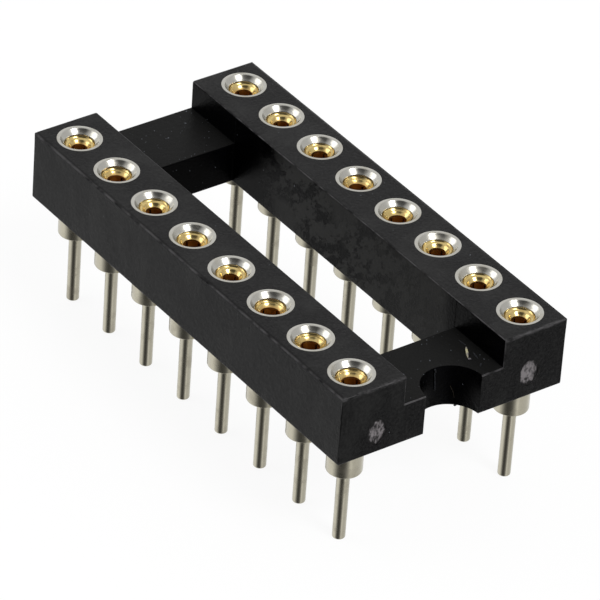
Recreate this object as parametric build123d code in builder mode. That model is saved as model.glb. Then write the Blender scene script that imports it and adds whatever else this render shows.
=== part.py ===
"""Dual in-line socket: a moulded housing, turned contact sleeves and the spring clips pressed into them.

Millimetres. The origin is at the middle of the tail tips, +Z points up and the rails run along Y.
The polarity notch is in the end bar at -Y.
"""
import os
from math import sqrt

from build123d import *

# Contact grid
contacts_per_row = 8
contact_pitch = 2.54
row_spacing = 7.62

# Housing: two rails joined by a lower bar at each end
housing_height = 2.95
rail_width = 2.86
end_bar_length = 3.0
end_bar_drop = 1.2
corner_radius = 0.12
top_edge_chamfer = 0.06
notch_radius = 1.27
gate_mark_half_width = 0.43
gate_mark_half_height = 0.58
gate_mark_depth = 0.05
gate_mark_inset = 1.63
gate_mark_rise = 1.0

# Contact sleeve: a head, a pressed body that runs on as the standoff collar, and a tail
head_radius = 0.885
head_thickness = 0.42
rim_width = 0.085
sleeve_bore_radius = 0.58
sleeve_bore_depth = 3.0
sleeve_wall = 0.11
standoff = 1.35
tail_radius = 0.25
tail_length = 3.09

# Spring clip: a closed, flared mouth above leaves that lean towards the axis
clip_thickness = 0.11
clip_lip_height = 0.1
clip_flare_height = 0.31
clip_flare_width = 0.185
clip_length = 2.0
clip_leaves = 4
clip_leaf_width = 0.4
clip_tip_radius = 0.17
clip_tip_gap = 0.02

# Radial fits, and the room that lets sockets stand end to end on one pitch
head_clearance = 0.01
body_clearance = 0.01
clip_clearance = 0.01
end_to_end_clearance = 0.05

# The housing reaches half a pitch past its contacts on every side
housing_length = contacts_per_row * contact_pitch - end_to_end_clearance
housing_width = row_spacing + contact_pitch
window_length = housing_length - 2 * end_bar_length
window_width = housing_width - 2 * rail_width

# Radii of the sleeve
rim_inner_radius = head_radius - rim_width
body_radius = sleeve_bore_radius + sleeve_wall

# Heights above the tail tips
seat_z = tail_length
underside_z = seat_z + standoff
top_z = underside_z + housing_height
bar_top_z = top_z - end_bar_drop
head_seat_z = top_z - head_thickness
countersink_z = top_z - (rim_inner_radius - sleeve_bore_radius)
bore_floor_z = top_z - sleeve_bore_depth
clip_lip_z = countersink_z - clip_lip_height
clip_throat_z = countersink_z - clip_flare_height
clip_tip_z = countersink_z - clip_length

# Radii of the clip's mouth, and how far out its flat leaves can stand below it
clip_lip_radius = sleeve_bore_radius - clip_clearance
clip_throat_radius = clip_lip_radius - clip_flare_width
clip_waist_radius = clip_throat_radius + clip_thickness
clip_leaf_reach = sqrt(clip_waist_radius**2 - (clip_leaf_width / 2) ** 2)
clip_leaf_tip_width = 2 * (clip_tip_radius - clip_tip_gap)


def export(part, label):
    """Name a finished piece and write it to its own file."""
    part.label = label
    export_step(part, f"parts/{label}.step")


def axial_plane(place):
    """Vertical plane through a contact's axis: X is the radius, Y the height above the tail tips."""
    return Plane(origin=(place.X, place.Y, 0), x_dir=(1, 0, 0), z_dir=(0, -1, 0))


def contact_axis(place):
    return Axis((place.X, place.Y, 0), (0, 0, 1))


def make_housing():
    """Moulded frame with a counterbored hole for each contact and a half-round notch at the -Y end."""
    with BuildPart() as housing:
        with BuildSketch(Plane.XY.offset(underside_z)):
            RectangleRounded(housing_width, housing_length, corner_radius)
            RectangleRounded(window_width, window_length, corner_radius, mode=Mode.SUBTRACT)
        extrude(amount=housing_height)

        # The end bars stand lower than the rails.
        with BuildSketch(Plane.XY.offset(bar_top_z)):
            Rectangle(window_width, housing_length)
        extrude(amount=end_bar_drop, mode=Mode.SUBTRACT)

        with BuildSketch(Plane.XY.offset(underside_z)):
            with Locations((0, -housing_length / 2)):
                Circle(notch_radius)
        extrude(amount=housing_height, mode=Mode.SUBTRACT)

        rail_ends = housing.edges().filter_by(Axis.Z).filter_by_position(Axis.Z, bar_top_z, top_z)
        fillet(rail_ends, corner_radius)
        chamfer(housing.faces().sort_by(Axis.Z)[-2:].edges(), top_edge_chamfer)

        # Gate vestiges on the notched end, one on each rail.
        with BuildSketch(Plane.XZ.offset(housing_length / 2)):
            with Locations((0, underside_z + gate_mark_rise)):
                with GridLocations(housing_width - 2 * gate_mark_inset, 0, 2, 1):
                    Ellipse(gate_mark_half_width, gate_mark_half_height)
        extrude(amount=-gate_mark_depth, mode=Mode.SUBTRACT)

        with Locations((0, 0, top_z)):
            with GridLocations(row_spacing, contact_pitch, 2, contacts_per_row):
                CounterBoreHole(
                    radius=body_radius + body_clearance,
                    counter_bore_radius=head_radius + head_clearance,
                    counter_bore_depth=head_thickness,
                )
    return housing.part


def make_sleeve(place):
    """Turned sleeve: a tail, a standoff body and a head, bored out below a countersunk funnel."""
    with BuildPart() as sleeve:
        with BuildSketch(axial_plane(place)):
            with BuildLine():
                Polyline(
                    (0, 0),
                    (tail_radius, 0),
                    (tail_radius, seat_z),
                    (body_radius, seat_z),
                    (body_radius, head_seat_z),
                    (head_radius, head_seat_z),
                    (head_radius, top_z),
                    (rim_inner_radius, top_z),
                    (sleeve_bore_radius, countersink_z),
                    (sleeve_bore_radius, bore_floor_z),
                    (0, bore_floor_z),
                    close=True,
                )
            make_face()
        revolve(axis=contact_axis(place))
    return sleeve.part


def make_leaf():
    """Flat leaf at the origin: it hangs from the mouth's lower face and narrows as it leans inwards."""
    with BuildPart() as leaf:
        with BuildSketch(Plane.XY.offset(clip_throat_z)):
            with Locations((clip_leaf_reach, 0)):
                Rectangle(clip_thickness, clip_leaf_width, align=(Align.MAX, Align.CENTER))
        with BuildSketch(Plane.XY.offset(clip_tip_z)):
            with Locations((clip_tip_radius, 0)):
                Rectangle(clip_thickness, clip_leaf_tip_width, align=(Align.MIN, Align.CENTER))
        loft(ruled=True)
    return leaf.part


def make_clip(place, leaf):
    """Spring clip: a mouth that flares out to the sleeve's bore, with the leaf repeated round it."""
    with BuildPart() as clip:
        with BuildSketch(axial_plane(place)):
            with BuildLine():
                Polyline(
                    (clip_lip_radius, countersink_z),
                    (clip_lip_radius, clip_lip_z),
                    (clip_waist_radius, clip_throat_z),
                    (clip_throat_radius, clip_throat_z),
                    close=True,
                )
            make_face()
        revolve(axis=contact_axis(place))
        with Locations(place):
            with PolarLocations(0, clip_leaves):
                add(leaf)
    return clip.part


os.makedirs("parts", exist_ok=True)
export(make_housing(), "housing")
leaf = make_leaf()
grid = GridLocations(row_spacing, contact_pitch, 2, contacts_per_row)
for number, location in enumerate(grid, start=1):
    export(make_sleeve(location.position), f"contact_sleeve_{number:02d}")
    export(make_clip(location.position, leaf), f"contact_clip_{number:02d}")
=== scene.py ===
"""Dual in-line socket: its moulded housing, turned contact sleeves and spring clips, finished and lit.

Metres, in the frame of the CAD model. The tail tips stand on Z = 0, the rails run along Y and the polarity
notch is at -Y.
"""
import math
from contextlib import contextmanager
from random import Random

import bmesh
import bpy
from bpy.props import FloatProperty, FloatVectorProperty, IntProperty, PointerProperty
from mathutils import Matrix, Quaternion, Vector


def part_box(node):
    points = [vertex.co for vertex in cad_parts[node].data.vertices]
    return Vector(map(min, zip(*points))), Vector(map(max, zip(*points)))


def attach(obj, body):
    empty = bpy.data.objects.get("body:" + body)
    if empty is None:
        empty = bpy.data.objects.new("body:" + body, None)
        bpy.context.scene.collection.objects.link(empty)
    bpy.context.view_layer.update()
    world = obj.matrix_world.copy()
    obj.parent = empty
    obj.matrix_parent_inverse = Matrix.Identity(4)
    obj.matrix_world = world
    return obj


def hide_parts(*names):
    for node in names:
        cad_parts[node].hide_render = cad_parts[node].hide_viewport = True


bl_info = {
    "name": "Dual In-line Socket",
    "version": (1, 0, 0),
    "blender": (4, 5, 0),
    "location": "View3D > Sidebar > Socket",
    "description": "Finishes a turned-contact chip socket and lights it",
    "category": "Object",
}

MM = 0.001

# Points nearer than the first count as in one place, and those nearer than the second are merged.
SAME_PLACE = 0.002 * MM
WELD = 1e-7

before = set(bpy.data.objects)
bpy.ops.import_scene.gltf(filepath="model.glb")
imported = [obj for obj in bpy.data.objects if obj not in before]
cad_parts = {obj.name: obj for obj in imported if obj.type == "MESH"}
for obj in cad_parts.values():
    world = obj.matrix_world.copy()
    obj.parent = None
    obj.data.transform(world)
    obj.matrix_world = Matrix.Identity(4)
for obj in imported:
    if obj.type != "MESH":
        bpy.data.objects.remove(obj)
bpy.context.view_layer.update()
housing_low, housing_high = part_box("housing")
sleeve_nodes = sorted(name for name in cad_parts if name.startswith("contact_sleeve"))
clip_nodes = sorted(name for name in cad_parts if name.startswith("contact_clip"))


def axis_of(node):
    """The point on the bottom plane below a contact's centre."""
    low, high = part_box(node)
    return Vector(((low.x + high.x) / 2, (low.y + high.y) / 2, 0))


# ---------------------------------------------------------------------------------------------- settings


def length_property(name, description, millimetres):
    """A length, with its default in millimetres."""
    default = millimetres * MM
    return FloatProperty(name=name, description=description, default=default, unit="LENGTH", precision=5)


def angle_property(name, description, degrees):
    """An angle, with its default in degrees."""
    default = math.radians(degrees)
    return FloatProperty(name=name, description=description, default=default, unit="ROTATION")


def colour_property(name, description, default):
    return FloatVectorProperty(name=name, description=description, default=default, subtype="COLOR")


def plain_property(name, description, default):
    """A number without a unit."""
    return FloatProperty(name=name, description=description, default=default)


def sides_property(description, default):
    return IntProperty(name="Segments", description=description, default=default, min=24)


class HousingSettings(bpy.types.PropertyGroup):
    """Sizes and colours of the moulded housing."""

    rail_width: length_property("Rail width", "Width of each long rail", 2.86)
    bar_length: length_property("Bar length", "Length of each end bar along Y", 3.0)
    bar_drop: length_property("Bar drop", "How far the end bars lie below the rail tops", 1.2)
    corner_radius: length_property("Corner radius", "Rounding of the outer upright corners", 0.08)
    window_corner_radius: length_property("Window corners", "Rounding of the window's corners", 0.05)
    top_edge_radius: length_property("Top edge radius", "Rounding of the rail tops' edges", 0.07)
    small_edge_radius: length_property("Small edge radius", "Rounding of all other edges", 0.018)
    notch_radius: length_property("Notch radius", "Radius of the half-round polarity notch", 1.27)
    gate_half_width: length_property("Gate half width", "Half the width of a gate mark", 0.42)
    gate_half_height: length_property("Gate half height", "Half the height of a gate mark", 0.57)
    gate_depth: length_property("Gate depth", "Depth of a gate mark's recess", 0.045)
    top_grey: plain_property("Top grey", "How much paler the faces that look up are made", 0.08)
    colour: colour_property("Plastic", "Darkest colour of the outer faces", (0.001, 0.001, 0.0012))
    flow_colour: colour_property("Flow marks", "Palest colour of the flow marks", (0.015, 0.015, 0.0147))
    # Painted shade: the faces inside the frame get this darker colour for the shade that falls there.
    painted_shade_colour: colour_property("Inner faces", "Colour inside the frame", (0.0003, 0.0003, 0.0004))
    # Painted reflection: the pale colour of the lit blotches on the window's walls.
    window_light_colour: colour_property("Window light", "Colour of the painted reflection on the window's walls", (0.0275, 0.0275, 0.0265))
    worn_colour: colour_property("Worn edge", "Colour where an edge is rubbed", (0.07, 0.068, 0.07))
    dust_colour: colour_property("Dust", "Colour of the dust specks", (0.13, 0.14, 0.16))
    break_colour: colour_property("Broken gate", "Colour of the torn gate marks", (0.16, 0.148, 0.153))
    flash_colour: colour_property("Flash", "Colour of dull scraps of flash", (0.02, 0.021, 0.025))
    chip_colour: colour_property("Chip", "Colour of a pale chip of flash", (0.46, 0.43, 0.26))
    lint_colour: colour_property("Lint", "Colour of a stray fibre", (0.015, 0.011, 0.006))


class SleeveSettings(bpy.types.PropertyGroup):
    """Sizes and colours of the turned sleeves."""

    segments: sides_property("Sides of a turned circle", 72)
    head_radius: length_property("Head radius", "Radius of the flanged head", 0.885)
    head_thickness: length_property("Head thickness", "Height of the head", 0.42)
    rim_width: length_property("Rim width", "Flat rim round the funnel", 0.12)
    bore_radius: length_property("Bore radius", "Radius of the bore", 0.58)
    bore_depth: length_property("Bore depth", "Depth of the bore from the top", 3.0)
    body_radius: length_property("Body radius", "Radius of the body and collar", 0.69)
    tail_radius: length_property("Tail radius", "Radius of the solder tail", 0.25)
    tail_length: length_property("Tail length", "Length of the solder tail", 3.09)
    seat_clearance: length_property("Seat clearance", "Gap between sleeve and housing", 0.01)
    colour: colour_property("Plating", "Colour of the plated heads", (0.47, 0.46, 0.422))
    tail_colour: colour_property("Tails", "Colour of the collars and tails", (0.52, 0.49, 0.39))
    tarnish_colour: colour_property("Tarnish", "Colour of the dulled plating", (0.36, 0.33, 0.26))


class ClipSettings(bpy.types.PropertyGroup):
    """Sizes and colours of the spring clips."""

    segments: sides_property("Sides of the clip's ring", 64)
    clearance: length_property("Clearance", "Gap between clip and bore", 0.01)
    thickness: length_property("Thickness", "Thickness of the strip", 0.11)
    seat_depth: length_property("Seat depth", "From the sleeve's top to the lip", 0.205)
    lip_height: length_property("Lip height", "Height of the straight outer wall at the lip", 0.1)
    edge_width: length_property("Edge width", "Bevel of the lip's outer edge", 0.012)
    flare_width: length_property("Flare width", "How far the mouth widens", 0.232)
    length: length_property("Length", "Length of the whole clip", 2.0)
    tip_radius: length_property("Tip radius", "Opening between the finger tips", 0.17)
    slot_width: length_property("Slot width", "Gap between two fingers", 0.08)
    colour: colour_property("Gold", "Colour of the gold plating", (0.63, 0.485, 0.205))
    shade_colour: colour_property("Dull gold", "Colour of dulled gold", (0.36, 0.23, 0.07))
    # Painted shade: the fingers deep in the bore get this dark colour for the bore's shade.
    painted_shade_colour: colour_property("Inside", "Colour of the fingers inside the bore", (0.4, 0.16, 0.026))


class StudioSettings(bpy.types.PropertyGroup):
    """Camera, light and floor."""

    azimuth: angle_property("Azimuth", "Turn of the camera about Z", -37.597)
    elevation: angle_property("Elevation", "Height of the camera", 34.545)
    roll: angle_property("Roll", "Tilt of the camera", 4.173)
    distance: length_property("Distance", "From the camera to its target", 208.6)
    lens: plain_property("Lens", "Focal length in millimetres", 332.54)
    floor_colour: colour_property("Floor", "Colour of the floor", (0.92, 0.92, 0.92))
    floor_white: plain_property("Floor white", "How far the camera sees the floor as plain white", 0.92)
    room_light: plain_property("Room light", "Brightness of the room's walls", 1.0)
    box_light: plain_property("Softbox light", "Brightness of the two softboxes", 1.8)
    key_light: plain_property("Key light", "Brightness of the small lamp", 13.0)


# Centres of the two gate marks on the notched end, as (X, Z).
GATE_MARKS = ((-3.42 * MM, 5.36 * MM), (3.48 * MM, 5.5 * MM))

# Lamps: degrees to the right of the front, degrees up, distance, width and height.
SOFTBOX_RIGHT = (44, 47, 0.5, 0.22, 0.3)
SOFTBOX_LEFT = (-100, 29, 0.5, 0.34, 0.24)
KEY_LAMP = (47, 50, 0.45, 0.12, 0.15)

CAMERA_TARGET = Vector((0.0145, -0.4937, 4.233)) * MM
CAMERA_SHIFT = (0.0022, -0.0017)


# ---------------------------------------------------------------------------------------------- modelling


def pick(*pieces):
    """Select these objects alone, the first one active."""
    bpy.ops.object.select_all(action="DESELECT")
    for piece in pieces:
        piece.select_set(True)
    bpy.context.view_layer.objects.active = pieces[0]


@contextmanager
def editing(piece):
    """Edit mode on one piece, with nothing in it selected."""
    pick(piece)
    bpy.ops.object.mode_set(mode="EDIT")
    bpy.ops.mesh.select_all(action="DESELECT")
    yield
    bpy.ops.object.mode_set(mode="OBJECT")


def select_edges(piece, wanted):
    """Select the edges whose two ends pass the test."""
    mesh = bmesh.from_edit_mesh(piece.data)
    bpy.ops.mesh.select_mode(type="EDGE")
    for edge in mesh.edges:
        edge.select_set(wanted(edge.verts[0].co, edge.verts[1].co))
    mesh.select_flush_mode()
    bmesh.update_edit_mesh(piece.data)


def select_faces(piece, wanted):
    """Select the faces whose centre and normal pass the test."""
    mesh = bmesh.from_edit_mesh(piece.data)
    bpy.ops.mesh.select_mode(type="FACE")
    for face in mesh.faces:
        face.select_set(wanted(face.calc_center_median(), face.normal))
    bmesh.update_edit_mesh(piece.data)


def near(a, b):
    return abs(a - b) < SAME_PLACE


def weld(piece):
    """Merge the points that lie on each other."""
    with editing(piece):
        bpy.ops.mesh.select_all(action="SELECT")
        bpy.ops.mesh.remove_doubles(threshold=WELD)


def new_box(name, low, high):
    """A box between two corners, with its place in its mesh."""
    low, high = Vector(low), Vector(high)
    bpy.ops.object.select_all(action="DESELECT")
    bpy.ops.mesh.primitive_cube_add(size=1, location=(low + high) / 2, scale=high - low)
    box = bpy.context.object
    box.name = name
    bpy.ops.object.transform_apply(location=True, rotation=True, scale=True)
    return box


def turned(name, outline, segments, capped=True):
    """A solid turned about Z: a circle is extruded along the outline's (radius, height) points."""
    radius, height = outline[0]
    bpy.ops.object.select_all(action="DESELECT")
    bpy.ops.mesh.primitive_circle_add(
        vertices=segments, radius=radius, location=(0, 0, height), fill_type="NGON" if capped else "NOTHING"
    )
    piece = bpy.context.object
    piece.name = name
    bpy.ops.object.transform_apply(location=True, rotation=True, scale=True)
    with editing(piece):
        bpy.ops.mesh.select_all(action="SELECT")
        for next_radius, next_height in outline[1:]:
            bpy.ops.mesh.extrude_region_move(TRANSFORM_OT_translate={"value": (0, 0, next_height - height)})
            factor = next_radius / radius
            bpy.ops.transform.resize(value=(factor, factor, 1), center_override=(0, 0, 0))
            radius, height = next_radius, next_height
        bpy.ops.mesh.select_all(action="SELECT")
        bpy.ops.mesh.remove_doubles(threshold=WELD)
        bpy.ops.mesh.normals_make_consistent(inside=False)
    return piece


def round_ring(piece, ring, width, steps):
    """Round the ring of edges at this (radius, height)."""
    radius, height = ring

    def on_ring(a, b):
        return all(near(end.xy.length, radius) and near(end.z, height) for end in (a, b))

    with editing(piece):
        select_edges(piece, on_ring)
        bpy.ops.mesh.bevel(offset=width, segments=steps, affect="EDGES")


def apply_modifier(piece, kind, **values):
    """Apply one modifier with these properties."""
    pick(piece)
    modifier = piece.modifiers.new(kind.title(), kind)
    for name, value in values.items():
        setattr(modifier, name, value)
    bpy.ops.object.modifier_apply(modifier=modifier.name)


def cut(piece, cutter):
    """Take the cutter's solid out of the piece."""
    apply_modifier(piece, "BOOLEAN", operation="DIFFERENCE", solver="EXACT", object=cutter)
    bpy.data.objects.remove(cutter)


def smooth(piece, angle):
    """Smooth shading across soft edges, with the large faces kept flat."""
    pick(piece)
    bpy.ops.object.shade_smooth_by_angle(angle=math.radians(angle))
    apply_modifier(piece, "WEIGHTED_NORMAL", keep_sharp=True, weight=100)


def place_copy(piece, name, place, turn=0.0):
    """A copy with its own mesh, turned about Z and moved by its mesh."""
    copy = piece.copy()
    copy.data = piece.data.copy()
    copy.name = name
    bpy.context.scene.collection.objects.link(copy)
    copy.data.transform(Matrix.Translation(place) @ Matrix.Rotation(turn, 4, "Z"))
    return copy


def finish_piece(piece, material, slot, *nodes):
    """Give a piece its material, its body and the CAD nodes that it stands for, which are hidden. The slot
    is not used.
    """
    piece.data.materials.clear()
    piece.data.materials.append(material)
    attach(piece, "root")
    if nodes:
        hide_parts(*nodes)


# ---------------------------------------------------------------------------------------------- materials


class Nodes:
    """Short calls for building one node tree."""

    def __init__(self, tree):
        self.tree = tree
        self.tree.nodes.clear()

    def feed(self, socket, value):
        """Link an output to the socket, or set the socket's own value."""
        if isinstance(value, bpy.types.NodeSocket):
            self.tree.links.new(value, socket)
        elif socket.type == "RGBA":
            socket.default_value = (*value[:3], 1)
        else:
            socket.default_value = value

    def add(self, kind, inputs=None, **properties):
        """A shader node with these properties, and its inputs fed by name or number."""
        node = self.tree.nodes.new("ShaderNode" + kind)
        for name, value in properties.items():
            setattr(node, name, value)
        for name, value in (inputs or {}).items():
            self.feed(node.inputs[name], value)
        return node

    def group(self, tree, **inputs):
        """A node group's node, with its inputs set."""
        return self.add("Group", inputs, node_tree=tree)

    def place(self):
        """The object's own coordinates."""
        return self.add("TexCoord").outputs["Object"]

    def parts(self, vector):
        """X, Y and Z of a vector."""
        return tuple(self.add("SeparateXYZ", {"Vector": vector}).outputs)

    def facing(self):
        """Z of the surface's normal: 1 where a face looks up, 0 where it is upright."""
        return self.parts(self.add("NewGeometry").outputs["Normal"])[2]

    def mix_colour(self, factor, a, b):
        return self.add("Mix", {0: factor, 6: a, 7: b}, data_type="RGBA").outputs[2]

    def math(self, operation, a, b=0.0, clamp=False):
        return self.add("Math", {0: a, 1: b}, operation=operation, use_clamp=clamp).outputs[0]

    def product(self, first, *others):
        for other in others:
            first = self.math("MULTIPLY", first, other)
        return first

    def most(self, first, *others):
        for other in others:
            first = self.math("MAXIMUM", first, other)
        return first

    def span(self, value, from_low, from_high, to_low=0.0, to_high=1.0):
        """A value spread from one range to another, smoothly and with its ends held."""
        inputs = {
            "Value": value,
            "From Min": from_low,
            "From Max": from_high,
            "To Min": to_low,
            "To Max": to_high,
        }
        return self.add("MapRange", inputs, interpolation_type="SMOOTHSTEP").outputs["Result"]

    def noise(self, vector, scale, detail, roughness):
        inputs = {"Vector": vector, "Scale": scale, "Detail": detail, "Roughness": roughness}
        return self.add("TexNoise", inputs).outputs["Fac"]

    def scaled(self, vector, scale, rotation=(0, 0, 0)):
        inputs = {"Vector": vector, "Rotation": rotation, "Scale": scale}
        return self.add("Mapping", inputs).outputs["Vector"]

    def bump(self, height, millimetres, strength):
        inputs = {"Height": height, "Distance": millimetres * MM, "Strength": strength}
        return self.add("Bump", inputs).outputs["Normal"]


def new_group(name, inputs, outputs):
    """A shader node group of plain values: its nodes, its given inputs and its outputs to feed."""
    tree = bpy.data.node_groups.new(name, "ShaderNodeTree")
    for label, value in inputs.items():
        socket = tree.interface.new_socket(name=label, in_out="INPUT", socket_type="NodeSocketFloat")
        socket.default_value = value
    for label in outputs:
        tree.interface.new_socket(name=label, in_out="OUTPUT", socket_type="NodeSocketFloat")
    n = Nodes(tree)
    return n, tree.nodes.new("NodeGroupInput").outputs, tree.nodes.new("NodeGroupOutput").inputs


def edge_wear_group():
    """Rubbed edges: where a face leans between upright and flat, broken up by noise."""
    name = "edge wear"
    if name in bpy.data.node_groups:
        return bpy.data.node_groups[name]
    n, given, result = new_group(name, {"Scale": 900.0, "Amount": 1.0}, ("Mask", "Dull"))
    lean = n.math("ABSOLUTE", n.facing())
    slope = n.product(lean, n.math("SUBTRACT", 1.0, lean), 4.0)
    edge = n.span(slope, 0.1, 0.6)
    place = n.place()
    broken = n.span(n.noise(place, given["Scale"], 4.0, 0.6), 0.35, 0.62)
    n.feed(result["Mask"], n.math("MULTIPLY", n.product(edge, broken), given["Amount"], True))
    chafed = n.span(n.noise(place, 3300.0, 3.0, 0.65), 0.42, 0.55)
    n.feed(result["Dull"], n.product(edge, chafed))
    return n.tree


def specks_group():
    """Scattered dust specks: a fine noise's peaks, thicker where a coarse noise allows it."""
    name = "dust specks"
    if name in bpy.data.node_groups:
        return bpy.data.node_groups[name]
    n, given, result = new_group(name, {"Scale": 9000.0, "Threshold": 0.7}, ("Mask",))
    place = n.place()
    fine = n.noise(place, given["Scale"], 1.0, 0.5)
    coarse = n.span(n.noise(place, 700.0, 2.0, 0.5), 0.4, 0.65)
    limit = n.math("SUBTRACT", given["Threshold"], n.product(coarse, 0.03))
    n.feed(result["Mask"], n.span(n.math("SUBTRACT", fine, limit), 0.0, 0.03))
    return n.tree


def new_material(name):
    """A material, its nodes and its Principled shader."""
    material = bpy.data.materials.new(name)
    material.use_nodes = True
    n = Nodes(material.node_tree)
    shader = n.add("BsdfPrincipled")
    n.add("OutputMaterial", {"Surface": shader.outputs["BSDF"]})
    return material, n, shader


def connect(n, shader, **values):
    """Feed the shader's sockets, with each space in a socket's name written as an underscore."""
    for name, value in values.items():
        n.feed(shader.inputs[name.replace("_", " ")], value)


def painted_window_light(n, settings, place):
    """Mask of the painted reflection on the window's walls: pale blotches for the lit floor that the walls
    mirror through the window; it fades out towards both bars, which shade the walls.
    """
    x, y, z = n.parts(place)
    window_end = housing_high.y - settings.bar_length
    far_fade = n.span(y, window_end - 1.3 * MM, window_end - 3.9 * MM)
    near_fade = n.span(y, 0.2 * MM - window_end, 0.9 * MM - window_end)
    rising = n.math("ADD", y, z)
    falling = n.product(n.math("SUBTRACT", y, z), 0.5)
    slanted = n.add("CombineXYZ", {"X": rising, "Y": falling, "Z": x}).outputs["Vector"]
    blotches = n.span(n.noise(slanted, 1150.0, 9.0, 0.75), 0.455, 0.52)
    whole = n.span(n.noise(place, 330.0, 2.0, 0.5), 0.52, 0.66)
    near_half = n.span(y, 0.0, -5.5 * MM, 0.0, 0.75)
    return n.product(n.most(blotches, whole, near_half), far_fade, near_fade)


def end_top_band(n, place, rubbed):
    """Mask of a broken paler band along the top edges of both end faces."""
    _, y, z = n.parts(place)
    high = n.span(z, housing_high.z - 0.17 * MM, housing_high.z - 0.06 * MM)
    outward = n.span(n.math("ABSOLUTE", y), housing_high.y - 0.12 * MM, housing_high.y - 0.04 * MM)
    broken = n.span(n.noise(place, 3600.0, 5.0, 0.75), 0.38, 0.66, 0.0, 0.8 * rubbed)
    return n.product(high, outward, broken)


def plastic_material(settings, name, shades, specular, patches, gloss, rubbed, window_light=False):
    """Black moulded plastic: cloudy flow, fine grain, dust on the bars, rubbed edges and faces that look up
    made paler; on the inner faces, a painted reflection of the lit floor on the window's walls.

    The roughness runs through the gloss range where a cloudy noise crosses the range of patches.
    """
    material, n, shader = new_material(name)
    place = n.place()
    stretched = n.scaled(place, (1.0, 1.0, 0.4), (0.5, 0.0, 0.4))
    flow = n.span(n.noise(stretched, 560.0, 5.0, 0.6), 0.42, 0.68)
    grain = n.noise(place, 15000.0, 3.0, 0.7)
    mottle = n.noise(place, 8000.0, 4.0, 0.7)
    tone = n.math("ADD", n.product(flow, 0.5), n.product(n.span(mottle, 0.35, 0.7), 0.5))
    colour = n.mix_colour(tone, *shades)

    height = n.parts(place)[2]
    bar_top = housing_high.z - settings.bar_drop
    upward = n.span(n.facing(), 0.8, 0.95)
    on_bar = n.product(n.span(height, bar_top + 0.15 * MM, bar_top + 0.02 * MM), upward)
    # Painted reflection: pale blotches on the window's walls, and the bar tops made a little paler.
    if window_light:
        mask = n.most(painted_window_light(n, settings, place), n.product(on_bar, 0.28))
        colour = n.mix_colour(mask, colour, settings.window_light_colour)
    else:
        # The faces that look up are made paler, by the top grey.
        colour = n.mix_colour(n.product(upward, settings.top_grey), colour, settings.worn_colour)
    many = n.group(specks_group(), Scale=9000.0, Threshold=0.76).outputs["Mask"]
    few = n.group(specks_group(), Scale=7500.0, Threshold=0.81).outputs["Mask"]
    dust = n.most(n.product(many, on_bar), few)
    colour = n.mix_colour(n.product(dust, 0.8), colour, settings.dust_colour)
    worn = n.group(edge_wear_group(), Scale=1500.0, Amount=rubbed)
    # Rubbed edges, and the paler band along the end faces' top edges.
    wear = n.most(worn.outputs["Mask"], end_top_band(n, place, rubbed))
    colour = n.mix_colour(wear, colour, settings.worn_colour)

    shine = n.span(n.noise(place, 420.0, 4.0, 0.55), *patches, *gloss)
    rough = n.math("ADD", shine, n.product(worn.outputs["Dull"], 0.45), True)
    relief = n.math("ADD", n.math("ADD", grain, n.product(mottle, 2.0)), n.product(dust, 2.0))
    normal = n.bump(relief, 0.009, 0.9)
    connect(n, shader, Base_Color=colour, Roughness=rough, Normal=normal, Specular_IOR_Level=specular)
    return material


def outer_plastic(settings):
    shades = (settings.colour, settings.flow_colour)
    look = {"specular": 0.06, "patches": (0.3, 0.72), "gloss": (0.15, 0.26), "rubbed": 0.9}
    return plastic_material(settings, "moulded plastic", shades, **look)


def shaded_inner_plastic(settings):
    """The inner faces are a blacker, glossier copy of the plastic with weaker specular: painted shade
    inside the frame.
    """
    shades = (settings.painted_shade_colour, [4 * c for c in settings.painted_shade_colour])
    look = {"specular": 0.026, "patches": (0.42, 0.6), "gloss": (0.07, 0.2), "rubbed": 0.0}
    return plastic_material(settings, "moulded plastic in painted shade", shades, **look, window_light=True)


def gate_distance(n, settings, place):
    """Distance from the nearest gate mark's centre, 1 on its oval outline, and held at 1 beyond it."""
    x, _, z = n.parts(place)
    nearest = 1.0
    for centre_x, centre_z in GATE_MARKS:
        across = n.math("DIVIDE", n.math("SUBTRACT", x, centre_x), settings.gate_half_width)
        upward = n.math("DIVIDE", n.math("SUBTRACT", z, centre_z), settings.gate_half_height)
        squares = n.math("ADD", n.product(across, across), n.product(upward, upward))
        nearest = n.math("MINIMUM", nearest, n.math("SQRT", squares))
    return nearest


def torn_material(settings):
    """Torn plastic of a gate mark: pale strands over the black, fewer towards its outline."""
    material, n, shader = new_material("torn plastic")
    place = n.place()
    strands = n.noise(n.scaled(place, (2.6, 1.0, 1.0)), 3200.0, 5.0, 0.65)
    reach = n.math("SUBTRACT", n.span(n.noise(place, 2300.0, 4.0, 0.65), 0.3, 0.7), 0.5)
    torn = n.math("ADD", strands, n.product(reach, 0.3))
    torn = n.math("SUBTRACT", torn, n.span(gate_distance(n, settings, place), 0.7, 1.0, 0.0, 0.3))
    dim = [0.04 * c for c in settings.break_colour]
    colour = n.mix_colour(n.span(torn, 0.31, 0.6), dim, settings.break_colour)
    normal = n.bump(strands, 0.015, 0.8)
    connect(n, shader, Base_Color=colour, Roughness=0.62, Normal=normal, Specular_IOR_Level=0.15)
    return material


def debris_material(name, pale, dark):
    """Ragged scrap of plastic or lint, blotched from pale to dark."""
    material, n, shader = new_material(name)
    blotch = n.noise(n.place(), 9000.0, 4.0, 0.6)
    colour = n.mix_colour(n.span(blotch, 0.36, 0.6), dark, pale)
    normal = n.bump(blotch, 0.01, 0.8)
    connect(n, shader, Base_Color=colour, Roughness=0.6, Normal=normal, Specular_IOR_Level=0.15)
    return material


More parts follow.
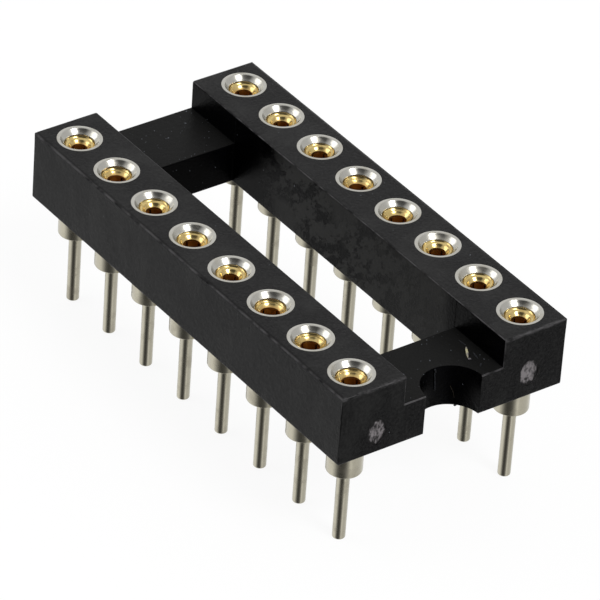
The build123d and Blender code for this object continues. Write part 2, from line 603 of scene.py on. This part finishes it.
def plated_material(settings):
    """Tin-plated brass with fine turning marks and dull patches, yellower below the housing."""
    material, n, shader = new_material("tin plating")
    place = n.place()
    dull = n.span(n.noise(place, 1600.0, 5.0, 0.6), 0.45, 0.72)
    below = n.span(n.parts(place)[2], housing_low.z, housing_low.z - 0.3 * MM)
    clean = n.mix_colour(below, settings.colour, settings.tail_colour)
    colour = n.mix_colour(n.product(dull, 0.45), clean, settings.tarnish_colour)
    marks = n.noise(n.scaled(place, (0.05, 0.05, 1.0)), 26000.0, 3.0, 0.7)
    pits = n.noise(place, 9000.0, 2.0, 0.5)
    rough = n.math("ADD", n.span(dull, 0.0, 1.0, 0.19, 0.33), n.product(marks, 0.05))
    normal = n.bump(n.math("ADD", n.product(marks, 0.7), n.product(pits, 0.6)), 0.003, 0.5)
    connect(n, shader, Base_Color=colour, Roughness=rough, Normal=normal, Metallic=1.0)
    return material


def gold_material(settings):
    """Bright gold plate at the mouth, with small dull patches, and painted shade inside the bore: darker
    and rougher with depth.
    """
    material, n, shader = new_material("gold plating")
    place = n.place()
    lip = housing_high.z - settings.seat_depth
    # Painted shade: deeper in the bore the gold turns to the dark painted shade colour.
    inside = n.span(n.parts(place)[2], lip - 0.15 * MM, lip - 0.34 * MM)
    dull = n.span(n.noise(place, 3800.0, 4.0, 0.6), 0.42, 0.7)
    colour = n.mix_colour(n.product(dull, 0.6), settings.colour, settings.shade_colour)
    colour = n.mix_colour(inside, colour, settings.painted_shade_colour)
    rough = n.math("ADD", n.span(dull, 0.0, 1.0, 0.17, 0.28), n.product(inside, 0.3))
    normal = n.bump(n.noise(place, 7000.0, 2.0, 0.5), 0.004, 0.5)
    connect(n, shader, Base_Color=colour, Roughness=rough, Normal=normal, Metallic=1.0)
    return material


def floor_material(settings):
    """Matt floor that the camera sees mostly as plain white, with a trace of the object's shadow."""
    material = bpy.data.materials.new("floor")
    material.use_nodes = True
    n = Nodes(material.node_tree)
    rays = n.add("LightPath").outputs
    seen = n.most(rays["Is Camera Ray"], rays["Is Glossy Ray"], rays["Is Transmission Ray"])
    paper = n.add("BsdfDiffuse", {"Color": settings.floor_colour})
    glow = n.add("Emission", {"Color": (1, 1, 1), "Strength": 1.0})
    inputs = {0: n.product(seen, settings.floor_white), 1: paper.outputs[0], 2: glow.outputs[0]}
    n.add("OutputMaterial", {"Surface": n.add("MixShader", inputs).outputs[0]})
    return material


def ramp(n, value, stops):
    """A grey ramp through these (position, brightness) stops."""
    node = n.add("ValToRGB", {"Fac": value})
    band = node.color_ramp
    band.interpolation = "EASE"
    while len(band.elements) < len(stops):
        band.elements.new(0.5)
    for element, (position, grey) in zip(band.elements, stops):
        element.position = position
        element.color = (grey, grey, grey, 1)
    return node.outputs["Color"]


def turn_stops(stops):
    """Ramp stops from (degrees to the right of the front, brightness) pairs."""
    return [(0.5 + degrees / 360, grey) for degrees, grey in stops]


def sine(degrees):
    return math.sin(math.radians(degrees))


# Brightness of the room's upper part, walls and lower part, by degrees to the right of the front.
UPPER = ((-180, 0.85), (-70, 0.85), (-45, 0.36), (20, 0.36), (36, 1.0), (58, 1.0), (70, 0.78), (180, 0.85))
WALLS = (
    (-180, 1.0),
    (-85, 0.95),
    (-68, 0.75),
    (-56, 0.5),
    (-44, 0.08),
    (20, 0.08),
    (34, 1.0),
    (58, 1.0),
    (70, 0.78),
    (120, 0.78),
    (150, 1.0),
)
BELOW = (
    (-180, 0.95),
    (-81, 1.0),
    (-65, 0.65),
    (-51, 0.33),
    (-38, 0.12),
    (-24, 0.07),
    (0, 0.09),
    (12, 0.15),
    (25, 0.4),
    (44, 1.0),
    (62, 0.72),
    (100, 0.72),
    (180, 0.95),
)

# Colour of the room straight overhead.
OVERHEAD = (0.8, 0.8, 0.8)


def room_world(settings):
    """Pale room round the object: dark towards the camera, dimmer high up there and even overhead."""
    world = bpy.data.worlds.new("room")
    world.use_nodes = True
    n = Nodes(world.node_tree)
    view = n.add("TexCoord").outputs["Generated"]
    front = (math.sin(settings.azimuth), -math.cos(settings.azimuth), 0)
    right = (math.cos(settings.azimuth), math.sin(settings.azimuth), 0)
    ahead, aside = (
        n.add("VectorMath", {0: view, 1: axis}, operation="DOT_PRODUCT").outputs["Value"]
        for axis in (front, right)
    )
    turn = n.math("ADD", n.math("DIVIDE", n.math("ARCTAN2", aside, ahead), 2 * math.pi), 0.5)
    upper, walls, below = (ramp(n, turn, turn_stops(stops)) for stops in (UPPER, WALLS, BELOW))
    height = n.parts(view)[2]
    # The walls give way to the upper part, and that to the overhead, between these heights in degrees.
    sky = n.mix_colour(n.span(height, sine(58), sine(67)), walls, upper)
    sky = n.mix_colour(n.span(height, sine(67), sine(76)), sky, OVERHEAD)
    room = n.mix_colour(n.span(height, -0.1, 0.05), below, sky)
    background = n.add("Background", {"Color": room, "Strength": settings.room_light})
    n.add("OutputWorld", {"Surface": background.outputs[0]})
    return world


# ---------------------------------------------------------------------------------------------- pieces


def new_crumb(name, place, size, roughness, subdivisions, turn=0.0, axis="Z"):
    """A ragged lump: a ball flattened to these half sizes, turned and pushed in by a cloudy texture."""
    bpy.ops.object.select_all(action="DESELECT")
    bpy.ops.mesh.primitive_ico_sphere_add(subdivisions=subdivisions, radius=1)
    crumb = bpy.context.object
    crumb.name = name
    crumb.data.transform(Matrix.Diagonal((*size, 1)))
    crumb.data.transform(Matrix.Rotation(turn, 4, axis))
    crumb.data.transform(Matrix.Translation(place))
    cloud = bpy.data.textures.new(f"ragged_{name}", "CLOUDS")
    cloud.noise_scale = 0.16 * MM
    cloud.noise_depth = 4
    pushed = {"texture_coords": "LOCAL", "strength": roughness, "mid_level": 0.8}
    apply_modifier(crumb, "DISPLACE", texture=cloud, **pushed)
    smooth(crumb, 60)
    return crumb


def new_fibre(name, points, radius):
    """A fine round fibre along a smooth line through these points."""
    line = bpy.data.curves.new(name, "CURVE")
    line.dimensions = "3D"
    line.bevel_depth = radius
    line.bevel_resolution = 2
    line.use_fill_caps = True
    spline = line.splines.new("NURBS")
    spline.points.add(len(points) - 1)
    for knot, point in zip(spline.points, points):
        knot.co = (*point, 1)
    spline.order_u = 3
    spline.use_endpoint_u = True
    fibre = bpy.data.objects.new(name, line)
    bpy.context.scene.collection.objects.link(fibre)
    pick(fibre)
    bpy.ops.object.convert(target="MESH")
    fibre = bpy.context.object
    smooth(fibre, 60)
    return fibre


def hole_cutter(settings, sleeves):
    """All counterbored holes of the housing as one solid."""
    floor_z = housing_high.z - settings.head_thickness
    body = settings.body_radius + settings.seat_clearance
    head = settings.head_radius + settings.seat_clearance
    outline = [
        (body, housing_low.z - MM),
        (body, floor_z),
        (head, floor_z),
        (head, housing_high.z + MM),
    ]
    hole = turned("hole", outline, 64)
    holes = [place_copy(hole, "hole_copy", axis_of(node)) for node in sleeves]
    bpy.data.objects.remove(hole)
    pick(*holes)
    bpy.ops.object.join()
    return bpy.context.object


def gate_recess(sizes, x, z):
    """Cutter for a gate mark's shallow oval recess, centred at this place on the notched end."""
    recess = turned("recess", [(1, -sizes.gate_depth), (1, sizes.gate_depth)], 48)
    oval = Matrix.Diagonal((sizes.gate_half_width, sizes.gate_half_height, 1, 1))
    recess.data.transform(Matrix.Rotation(math.radians(90), 4, "X") @ oval)
    recess.data.transform(Matrix.Translation((x, housing_low.y, z)))
    return recess


def round_uprights(piece, x, y, radius):
    """Round the upright edges at these distances from the middle."""

    def upright(a, b):
        return all(near(abs(end.x), x) and near(abs(end.y), y) for end in (a, b))

    with editing(piece):
        select_edges(piece, upright)
        bpy.ops.mesh.bevel(offset=radius, segments=3, affect="EDGES")


def open_frame(sizes, inner_x, inner_y):
    """The housing's block with its channel, window, rounded corners and notch."""
    low, high = housing_low, housing_high
    bar_top = high.z - sizes.bar_drop
    frame_block = new_box("housing_moulding", low, high)
    channel = new_box("channel", (-inner_x, low.y - MM, bar_top), (inner_x, high.y + MM, high.z + MM))
    cut(frame_block, channel)
    window = new_box("window", (-inner_x, -inner_y, low.z - MM), (inner_x, inner_y, high.z + MM))
    cut(frame_block, window)
    round_uprights(frame_block, high.x, high.y, sizes.corner_radius)
    round_uprights(frame_block, inner_x, high.y, sizes.corner_radius)
    round_uprights(frame_block, inner_x, inner_y, sizes.window_corner_radius)
    notch_outline = [(sizes.notch_radius, low.z - MM), (sizes.notch_radius, high.z + MM)]
    notch = turned("notch", notch_outline, 96)
    notch.data.transform(Matrix.Translation((0, low.y, 0)))
    cut(frame_block, notch)
    return frame_block


def round_edges(housing, sizes):
    """Round the rail tops' edges, and then all other sharp edges a little."""
    top = housing_high.z
    with editing(housing):
        select_edges(housing, lambda a, b: near(a.z, top) and near(b.z, top))
        bpy.ops.mesh.bevel(offset=sizes.top_edge_radius, segments=3, affect="EDGES")
    sharp = {"limit_method": "ANGLE", "angle_limit": math.radians(50)}
    apply_modifier(housing, "BEVEL", width=sizes.small_edge_radius, segments=2, **sharp)


class SOCKET_OT_make_housing(bpy.types.Operator):
    """Model the housing from a block: channel, window, notch, rounded edges and counterbored holes"""

    bl_idname = "socket.make_housing"
    bl_label = "Make housing"

    def execute(self, context):
        sizes = context.scene.socket_housing
        inner_x = housing_high.x - sizes.rail_width
        inner_y = housing_high.y - sizes.bar_length
        housing = open_frame(sizes, inner_x, inner_y)
        round_edges(housing, sizes)
        cut(housing, hole_cutter(context.scene.socket_sleeve, sleeve_nodes))
        for x, z in GATE_MARKS:
            cut(housing, gate_recess(sizes, x, z))
        weld(housing)
        short_of_ends = housing_high.y - 0.03 * MM

        def inner_face(centre, normal):
            across = abs(centre.x) < inner_x + 0.5 * sizes.corner_radius and abs(normal.z) < 0.5
            on_bar = abs(centre.x) < inner_x and normal.z > 0.5
            return (across or on_bar) and abs(centre.y) < short_of_ends and normal.z > -0.5

        finish_piece(housing, outer_plastic(sizes), "housing", "housing")
        # The faces inside the frame get the painted-shade copy of the plastic.
        housing.data.materials.append(shaded_inner_plastic(sizes))
        with editing(housing):
            select_faces(housing, inner_face)
            housing.active_material_index = 1
            bpy.ops.object.material_slot_assign()
        smooth(housing, 30)
        return {"FINISHED"}


class SOCKET_OT_make_gate_marks(bpy.types.Operator):
    """Model the two torn gate marks on the notched end"""

    bl_idname = "socket.make_gate_marks"
    bl_label = "Make gate marks"

    def execute(self, context):
        sizes = context.scene.socket_housing
        material = torn_material(sizes)
        bulge = 0.03 * MM
        sink = 0.034 * MM
        half_sizes = (sizes.gate_half_width, bulge, sizes.gate_half_height)
        for side, (x, z) in zip(("left", "right"), GATE_MARKS):
            place = (x, housing_low.y + sink, z)
            mark = new_crumb(f"gate_mark_{side}", place, half_sizes, bulge, 6)
            finish_piece(mark, material, "housing")
        return {"FINISHED"}


class SOCKET_OT_make_flash(bpy.types.Operator):
    """Model the moulding flash, the chip and the fibre that cling to the notched end"""

    bl_idname = "socket.make_flash"
    bl_label = "Make flash and lint"

    def execute(self, context):
        sizes = context.scene.socket_housing
        plastic = debris_material("torn flash", sizes.break_colour, sizes.flash_colour)
        dull = debris_material("dull flash", sizes.flash_colour, sizes.colour)
        pale = debris_material("pale chip", sizes.chip_colour, sizes.break_colour)
        lint = debris_material("lint", sizes.lint_colour, [0.5 * c for c in sizes.lint_colour])
        bar_top = housing_high.z / MM - sizes.bar_drop / MM
        low = housing_low.z / MM
        # Name, place and half sizes in millimetres, turn and material.
        crumbs = (
            ("notch_flash_line", (0.07, -8.9, 5.62), (0.03, 0.03, 0.5), -0.1, dull),
            ("notch_flash_nib", (0.04, -8.92, 6.08), (0.05, 0.04, 0.11), -0.4, dull),
            ("notch_flash_tip", (0.87, -9.22, low), (0.07, 0.05, 0.05), 0.0, dull),
            ("chip", (1.62, -8.71, bar_top + 0.03), (0.055, 0.36, 0.06), -0.54, pale),
            ("chip_flake", (1.46, -9.1, bar_top + 0.03), (0.06, 0.08, 0.05), 0.6, plastic),
            ("bar_flash_inner", (1.8, -9.0, bar_top + 0.01), (0.03, 0.24, 0.02), -0.2, dull),
            ("bar_flash_edge", (1.61, -9.58, bar_top + 0.01), (0.04, 0.12, 0.02), -0.8, dull),
            ("bar_flash_far", (1.86, -8.1, bar_top + 0.01), (0.03, 0.22, 0.02), 0.1, dull),
        )
        for name, place, size, turn, material in crumbs:
            size, place = Vector(size) * MM, Vector(place) * MM
            upright = size.z > size.y
            crumb = new_crumb(name, place, size, 0.5 * min(size), 4, turn, "Y" if upright else "Z")
            finish_piece(crumb, material, "housing")
        # The fibre's bends, in millimetres.
        bends = ((0.66, -9.08, 5.3), (0.73, -9.1, 5.16), (0.79, -9.15, 4.98), (0.82, -9.18, 4.76))
        fibre = new_fibre("notch_fibre", [Vector(bend) * MM for bend in bends], 0.013 * MM)
        finish_piece(fibre, lint, "housing")
        return {"FINISHED"}


def hollow_curve(start_radius, start_height, end_radius, start_slope, end_slope, steps=8):
    """Points down an arc inside a turned piece; the slopes are its angles below the horizontal."""
    a, b = math.radians(start_slope), math.radians(end_slope)
    arc_radius = (start_radius - end_radius) / abs(math.sin(b) - math.sin(a))
    points = []
    for step in range(steps + 1):
        slope = a + (b - a) * step / steps
        along = abs(math.sin(slope) - math.sin(a))
        down = abs(math.cos(slope) - math.cos(a))
        points.append((start_radius - arc_radius * along, start_height - arc_radius * down))
    return points


class SOCKET_OT_make_sleeves(bpy.types.Operator):
    """Turn one contact sleeve and copy it to each contact"""

    bl_idname = "socket.make_sleeves"
    bl_label = "Make contact sleeves"

    def execute(self, context):
        sizes = context.scene.socket_sleeve
        top = housing_high.z
        rim = sizes.head_radius - sizes.rim_width
        funnel = hollow_curve(rim, top, sizes.bore_radius, 55, 38)
        seat = sizes.tail_length
        head_seat = top - sizes.head_thickness
        outline = [
            (sizes.tail_radius, 0),
            (sizes.tail_radius, seat),
            (sizes.body_radius, seat),
            (sizes.body_radius, head_seat),
            (sizes.head_radius, head_seat),
            (sizes.head_radius, top),
            *funnel,
            (sizes.bore_radius, top - sizes.bore_depth),
        ]
        # Each turned edge as its ring, its rounding in millimetres and its steps.
        edges = (
            ((sizes.tail_radius, 0), 0.07, 4),
            ((sizes.body_radius, seat), 0.07, 4),
            ((sizes.tail_radius, seat), 0.03, 3),
            ((sizes.head_radius, top), 0.01, 2),
            ((rim, top), 0.035, 4),
            (funnel[-1], 0.02, 2),
        )
        sleeve = turned("sleeve", outline, sizes.segments)
        for ring, rounding, steps in edges:
            round_ring(sleeve, ring, rounding * MM, steps)
        smooth(sleeve, 40)
        material = plated_material(sizes)
        for node in sleeve_nodes:
            copy = place_copy(sleeve, f"{node}_turned", axis_of(node))
            finish_piece(copy, material, "sleeve", node)
        bpy.data.objects.remove(sleeve)
        return {"FINISHED"}


def clip_outline(sizes, outer, lip, tip):
    """Section of the clip, from the lip down the mouth to the finger tips and back up; and its waist."""
    # The mouth's three curves: how far in each one ends, and its slopes where it starts and ends.
    curves = (
        (0.05 * MM, 60, 48),
        (0.12 * MM, 16, 44),
        (sizes.flare_width, 50, 34),
    )
    mouth = [(outer - sizes.edge_width, lip)]
    for inset, start_slope, end_slope in curves:
        mouth += hollow_curve(*mouth[-1], outer - inset, start_slope, end_slope, 5)[1:]
    throat_radius, throat = mouth[-1]
    waist = throat - 0.08 * MM
    outline = [
        (outer, lip - sizes.edge_width),
        *mouth,
        (sizes.tip_radius, tip),
        (sizes.tip_radius + 0.7 * sizes.thickness, tip),
        (throat_radius + sizes.thickness, waist),
        (outer, lip - sizes.lip_height),
        (outer, lip - sizes.edge_width),
    ]
    return outline, waist


def direction(azimuth, elevation):
    """Unit vector towards a place in the sky: azimuth 0 is -Y, and it turns towards +X."""
    flat = math.cos(elevation)
    return Vector((math.sin(azimuth) * flat, -math.cos(azimuth) * flat, math.sin(elevation)))


class SOCKET_OT_make_clips(bpy.types.Operator):
    """Model one slotted spring clip and copy it to each contact, each seated a little differently"""

    bl_idname = "socket.make_clips"
    bl_label = "Make spring clips"

    def execute(self, context):
        sizes = context.scene.socket_clip
        lip = housing_high.z - sizes.seat_depth
        outer = context.scene.socket_sleeve.bore_radius - sizes.clearance
        tip = lip - sizes.length
        outline, waist = clip_outline(sizes, outer, lip, tip)
        clip = turned("clip", outline, sizes.segments, capped=False)
        for turn in (8, 98):
            half_slot = sizes.slot_width / 2
            slot = new_box("slot", (-MM, -half_slot, tip - MM), (MM, half_slot, waist))
            slot.data.transform(Matrix.Rotation(math.radians(turn), 4, "Z"))
            cut(clip, slot)
        weld(clip)
        smooth(clip, 40)
        material = gold_material(sizes)
        below_lip = lip - 0.06 * MM
        seating, leaning = Random(5), Random(8)
        for node in clip_nodes:
            place = axis_of(node) + Vector((0, 0, seating.uniform(-0.05, 0.01) * MM))
            copy = place_copy(clip, f"{node}_formed", place, seating.uniform(-0.25, 0.25))
            closed = seating.uniform(0.88, 1.1)
            with editing(copy):
                select_edges(copy, lambda a, b: max(a.z, b.z) < place.z + below_lip)
                bpy.ops.transform.resize(value=(closed, closed, 1), center_override=place)
            seat = place + Vector((0, 0, lip))
            towards = leaning.uniform(-math.pi, math.pi)
            lean = Matrix.Rotation(math.radians(leaning.uniform(0.5, 3.5)), 4, direction(towards, 0))
            copy.data.transform(Matrix.Translation(seat) @ lean @ Matrix.Translation(-seat))
            finish_piece(copy, material, "clip", node)
        bpy.data.objects.remove(clip)
        return {"FINISHED"}


# ---------------------------------------------------------------------------------------------- studio


def new_softbox(name, front, lamp_place, radiance):
    """A rectangular lamp that faces the origin, as bright from there as its radiance says."""
    turn, rise, distance, width, height = lamp_place
    lamp = bpy.data.lights.new(name, "AREA")
    lamp.shape = "RECTANGLE"
    lamp.size = width
    lamp.size_y = height
    lamp.energy = radiance * math.pi * width * height
    box = bpy.data.objects.new(name, lamp)
    bpy.context.scene.collection.objects.link(box)
    towards = direction(front + math.radians(turn), math.radians(rise))
    box.location = towards * distance
    box.rotation_mode = "QUATERNION"
    box.rotation_quaternion = towards.to_track_quat("Z", "Y")


def new_camera(studio):
    """The camera, which looks at its target from the studio's angles."""
    data = bpy.data.cameras.new("camera")
    data.lens = studio.lens
    data.sensor_width = 36
    data.shift_x, data.shift_y = CAMERA_SHIFT
    data.clip_start = 0.01
    camera = bpy.data.objects.new("camera", data)
    bpy.context.scene.collection.objects.link(camera)
    back = direction(studio.azimuth, studio.elevation)
    camera.location = CAMERA_TARGET + back * studio.distance
    camera.rotation_mode = "QUATERNION"
    level = back.to_track_quat("Z", "Y")
    camera.rotation_quaternion = level @ Quaternion((0, 0, 1), studio.roll)
    return camera


class SOCKET_OT_make_stage(bpy.types.Operator):
    """Add the floor, the two softboxes, the key lamp, the room light and the camera"""

    bl_idname = "socket.make_stage"
    bl_label = "Make stage"

    def execute(self, context):
        scene = context.scene
        studio = scene.socket_studio
        bpy.ops.object.select_all(action="DESELECT")
        bpy.ops.mesh.primitive_plane_add(size=2.0, location=(0, 0, 0))
        floor = bpy.context.object
        floor.name = "floor"
        floor.data.materials.append(floor_material(studio))
        # Polished metal mirrors the lower half of the room instead of the floor.
        floor.visible_glossy = False

        new_softbox("softbox_right", studio.azimuth, SOFTBOX_RIGHT, studio.box_light)
        new_softbox("softbox_left", studio.azimuth, SOFTBOX_LEFT, studio.box_light)
        new_softbox("key_lamp", studio.azimuth, KEY_LAMP, studio.key_light)
        scene.world = room_world(studio)
        scene.camera = new_camera(studio)
        scene.view_settings.view_transform = "Standard"
        return {"FINISHED"}


# ---------------------------------------------------------------------------------------------- add-on


class SOCKET_PT_panel(bpy.types.Panel):
    """Buttons and sizes of the socket."""

    bl_idname = "SOCKET_PT_panel"
    bl_label = "Socket"
    bl_space_type = "VIEW_3D"
    bl_region_type = "UI"
    bl_category = "Socket"

    def draw(self, context):
        for title, group, operators in SECTIONS:
            box = self.layout.box()
            box.label(text=title)
            settings = getattr(context.scene, group)
            for name in settings.bl_rna.properties.keys():
                if name not in ("rna_type", "name"):
                    box.prop(settings, name)
            for operator in operators:
                box.operator(operator)


SECTIONS = (
    ("Housing", "socket_housing", ("socket.make_housing", "socket.make_gate_marks", "socket.make_flash")),
    ("Sleeves", "socket_sleeve", ("socket.make_sleeves",)),
    ("Clips", "socket_clip", ("socket.make_clips",)),
    ("Studio", "socket_studio", ("socket.make_stage",)),
)
GROUPS = {
    "socket_housing": HousingSettings,
    "socket_sleeve": SleeveSettings,
    "socket_clip": ClipSettings,
    "socket_studio": StudioSettings,
}
CLASSES = (
    *GROUPS.values(),
    SOCKET_OT_make_housing,
    SOCKET_OT_make_gate_marks,
    SOCKET_OT_make_flash,
    SOCKET_OT_make_sleeves,
    SOCKET_OT_make_clips,
    SOCKET_OT_make_stage,
    SOCKET_PT_panel,
)


def register():
    for item in CLASSES:
        bpy.utils.register_class(item)
    for name, group in GROUPS.items():
        setattr(bpy.types.Scene, name, PointerProperty(type=group))


def unregister():
    for name in GROUPS:
        delattr(bpy.types.Scene, name)
    for item in reversed(CLASSES):
        bpy.utils.unregister_class(item)


def main():
    register()
    bpy.ops.socket.make_housing()
    bpy.ops.socket.make_gate_marks()
    bpy.ops.socket.make_flash()
    bpy.ops.socket.make_sleeves()
    bpy.ops.socket.make_clips()
    bpy.ops.socket.make_stage()


if __name__ == "__main__":
    main()
